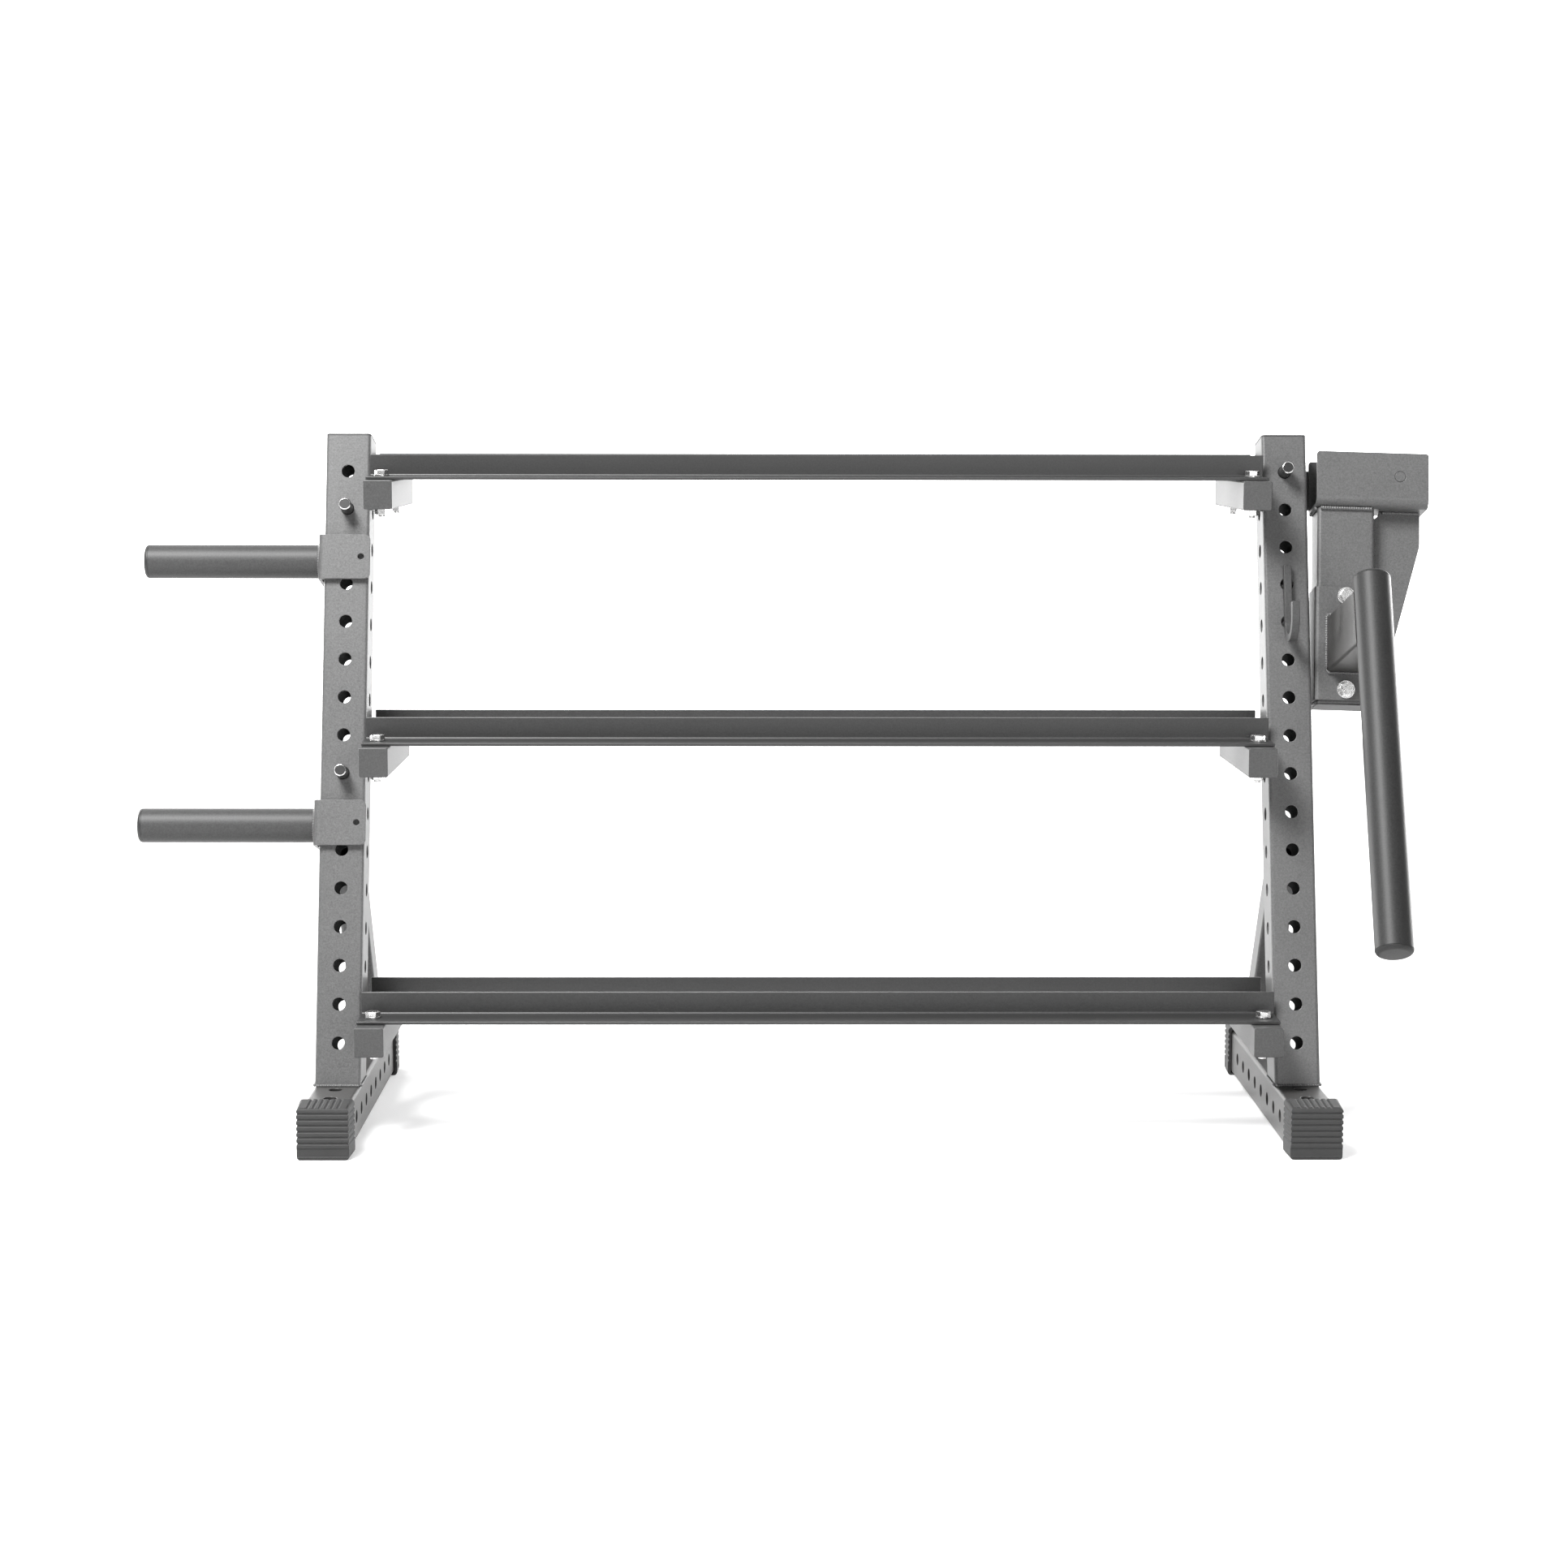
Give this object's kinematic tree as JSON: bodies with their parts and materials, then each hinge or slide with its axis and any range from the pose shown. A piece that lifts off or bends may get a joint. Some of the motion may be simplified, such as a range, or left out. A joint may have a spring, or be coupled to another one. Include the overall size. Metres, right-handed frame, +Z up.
{
  "type": "dumbbell rack",
  "caption": "Tiered dumbbell rack with leaning perforated uprights on capped feet, angle-steel shelves, swinging plate pegs, an accessory hook and a swinging roller-bar attachment.",
  "frame": {"origin": "on the floor, under the middle of the whole outline with pegs and attachment", "axes": "+X to the right as seen from the front, +Y to the back, +Z up"},
  "size_m": [1.7178, 0.7122, 0.9077],
  "materials": {
    "powder": "dark grey powder coat with a fine texture",
    "dark_powder": "darker powder coat, satin",
    "rubber": "ribbed matt rubber",
    "plastic": "matt moulded plug",
    "zinc": "bright zinc plating"
  },
  "bodies": {
    "frame": {"upright_left": "powder", "upright_lid_left": "plastic", "foot_left": "powder", "foot_cap_front_left": "rubber", "foot_cap_rear_left": "rubber", "brace_left": "powder", "upright_right": "powder", "upright_lid_right": "plastic", "foot_right": "powder", "foot_cap_front_right": "rubber", "foot_cap_rear_right": "rubber", "brace_right": "powder", "shelf_arm_bottom_left": "powder", "shelf_arm_bottom_right": "powder", "shelf_rail_bottom_front": "dark_powder", "shelf_rail_bottom_rear": "dark_powder", "shelf_bolt_bottom_front_left": "zinc", "shelf_bolt_bottom_front_right": "zinc", "shelf_bolt_bottom_rear_left": "zinc", "shelf_bolt_bottom_rear_right": "zinc", "shelf_arm_middle_left": "powder", "shelf_arm_middle_right": "powder", "shelf_rail_middle_front": "dark_powder", "shelf_rail_middle_rear": "dark_powder", "shelf_bolt_middle_front_left": "zinc", "shelf_bolt_middle_front_right": "zinc", "shelf_bolt_middle_rear_left": "zinc", "shelf_bolt_middle_rear_right": "zinc", "shelf_arm_top_left": "powder", "shelf_arm_top_right": "powder", "shelf_rail_top_front": "dark_powder", "shelf_rail_top_rear": "dark_powder", "shelf_bolt_top_front_left": "zinc", "shelf_bolt_top_front_right": "zinc", "shelf_bolt_top_rear_left": "zinc", "shelf_bolt_top_rear_right": "zinc"},
    "peg_upper": {"peg_bracket_upper": "powder", "peg_pin_upper": "dark_powder", "peg_tube_upper": "dark_powder", "peg_end_upper": "plastic"},
    "peg_lower": {"peg_bracket_lower": "powder", "peg_pin_lower": "dark_powder", "peg_tube_lower": "dark_powder", "peg_end_lower": "plastic"},
    "side_attachment": {"attachment_channel": "powder", "attachment_cross_pin": "powder", "attachment_back_plate": "powder", "attachment_pin": "dark_powder", "attachment_post": "powder", "attachment_post_cap": "plastic", "attachment_gusset": "powder", "attachment_clamp": "powder", "attachment_bolt_upper": "zinc", "attachment_bolt_lower": "zinc", "attachment_strut": "powder", "roller_bar": "dark_powder", "roller_bar_cap_top": "plastic", "roller_bar_cap_bottom": "plastic"},
    "accessory_hook": {"accessory_hook": "dark_powder"}
  },
  "joints": [
    {"name": "peg_upper_swing", "type": "hinge", "parent": "frame", "child": "peg_upper", "pos_m": [-0.5869, 0.15849, 0.80094], "axis": [0, 0.9703, -0.2419], "range_deg": [0, 80]},
    {"name": "peg_lower_swing", "type": "hinge", "parent": "frame", "child": "peg_lower", "pos_m": [-0.5869, 0.07246, 0.45591], "axis": [0, 0.9703, -0.2419], "range_deg": [0, 80]},
    {"name": "side_attachment_swing", "type": "hinge", "parent": "frame", "child": "side_attachment", "pos_m": [0.6651, 0.17078, 0.85024], "axis": [0, -0.9703, 0.2419], "range_deg": [0, 80]},
    {"name": "accessory_hook_pull", "type": "slide", "parent": "frame", "child": "accessory_hook", "axis": [0, -0.9703, 0.2419], "range_m": [0, 0.04]}
  ]
}
